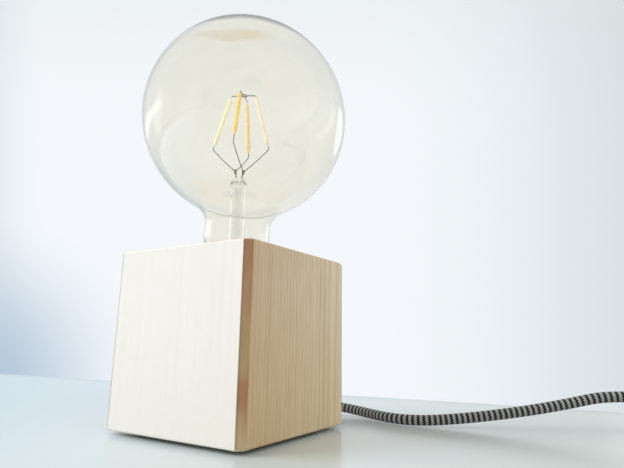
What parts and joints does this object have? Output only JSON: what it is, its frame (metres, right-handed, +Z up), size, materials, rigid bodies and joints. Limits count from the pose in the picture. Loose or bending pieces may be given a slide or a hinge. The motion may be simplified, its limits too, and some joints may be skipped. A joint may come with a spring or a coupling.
{
  "type": "table lamp",
  "caption": "Bare bulb table lamp: square softwood block with a sunk screw socket, a large clear globe bulb with bright strips, and a braided cord with in-line switch and flat plug.",
  "frame": {"origin": "on the table, under the axis of the socket, 2.1 mm from the middle of the wooden block", "axes": "+Z up, +Y through the back face where the cord leaves, +X through the right-hand face seen in the picture"},
  "size_m": [0.4041, 0.2469, 0.2512],
  "materials": {
    "pine": "planed and lightly oiled softwood",
    "felt": "pressed felt",
    "plate": "satin black",
    "zinc": "zinc plated",
    "bush": "matt",
    "braid": "black and light grey zigzag braid",
    "core_brown": "conductor insulation",
    "core_blue": "conductor insulation",
    "socket": "moulded black plastic",
    "ceramic": "glazed ceramic",
    "brass": "rolled sheet brass",
    "cap_metal": "nickelled, satin",
    "cap_glass": "black vitreous insulator",
    "board": "white circuit board",
    "electronics": "moulded components",
    "gold_glass": "clear glass with a light gold tint",
    "clear_glass": "clear glass",
    "support_wire": "drawn wire",
    "strip_yellow": "yellow phosphor coating",
    "switch_black": "fine grained plastic",
    "plug_black": "moulded plastic",
    "pin_metal": "nickel plated brass",
    "tie": "natural nylon"
  },
  "bodies": {
    "lamp": {"wood_block": "pine", "base_plate": "plate", "base_screws": "zinc", "felt_pad": "felt", "exit_bush": "bush", "cord_tie": "tie", "cord_inner": "braid", "core_live": "core_brown", "core_neutral": "core_blue", "threaded_nipple": "zinc", "nipple_nut": "zinc", "nipple_washer": "zinc", "holder_dome": "socket", "grub_screw": "zinc", "contact_carrier": "ceramic", "terminals": "brass", "terminal_screws": "zinc", "contact_rivets": "brass", "centre_contact": "brass", "side_contact": "brass", "screw_shell": "brass", "holder_body": "socket", "cord_lamp_side": "braid", "switch_base": "switch_black", "switch_cover": "switch_black", "switch_contacts": "brass", "switch_screws": "zinc", "switch_relief_in": "bush", "switch_relief_out": "bush", "switch_cord_ends": "braid", "switch_wires": "core_brown", "cord_switch_side": "braid", "cord_coil": "braid", "cord_plug_side": "braid", "plug_relief": "plug_black", "plug_body": "plug_black", "plug_pins": "pin_metal", "pin_sleeves": "plug_black", "plug_cord_end": "braid"},
    "bulb_carrier": {"cap_contact": "zinc"},
    "bulb": {"cap_insulator": "cap_glass", "bulb_cap_shell": "cap_metal", "driver_board": "board", "driver_parts": "electronics", "exhaust_tube": "clear_glass", "glass_stem": "clear_glass", "bulb_glass": "gold_glass", "filament_hub": "support_wire", "led_filament_1": "strip_yellow", "led_filament_2": "strip_yellow", "led_filament_3": "strip_yellow", "led_filament_4": "strip_yellow", "lead_wires_a": "support_wire", "lead_wires_b": "support_wire"},
    "rocker": {"switch_rocker": "switch_black", "switch_bridge": "brass"}
  },
  "joints": [
    {"name": "bulb_rise", "type": "slide", "parent": "lamp", "child": "bulb_carrier", "axis": [0, 0, 1], "range_m": [0, 0.0146]},
    {"name": "bulb_unscrew", "type": "hinge", "parent": "bulb_carrier", "child": "bulb", "pos_m": [0, 0, 0.0715], "axis": [0, 0, 1], "range_deg": [0, 1440]},
    {"name": "switch_rock", "type": "hinge", "parent": "lamp", "child": "rocker", "pos_m": [0.243, 0.1385, 0.0259], "axis": [0.2588, -0.9659, 0], "range_deg": [0, 24]}
  ],
  "couplings": [
    {"joint": "bulb_rise", "follows": "bulb_unscrew", "m_per_rad": 0.00057757}
  ]
}
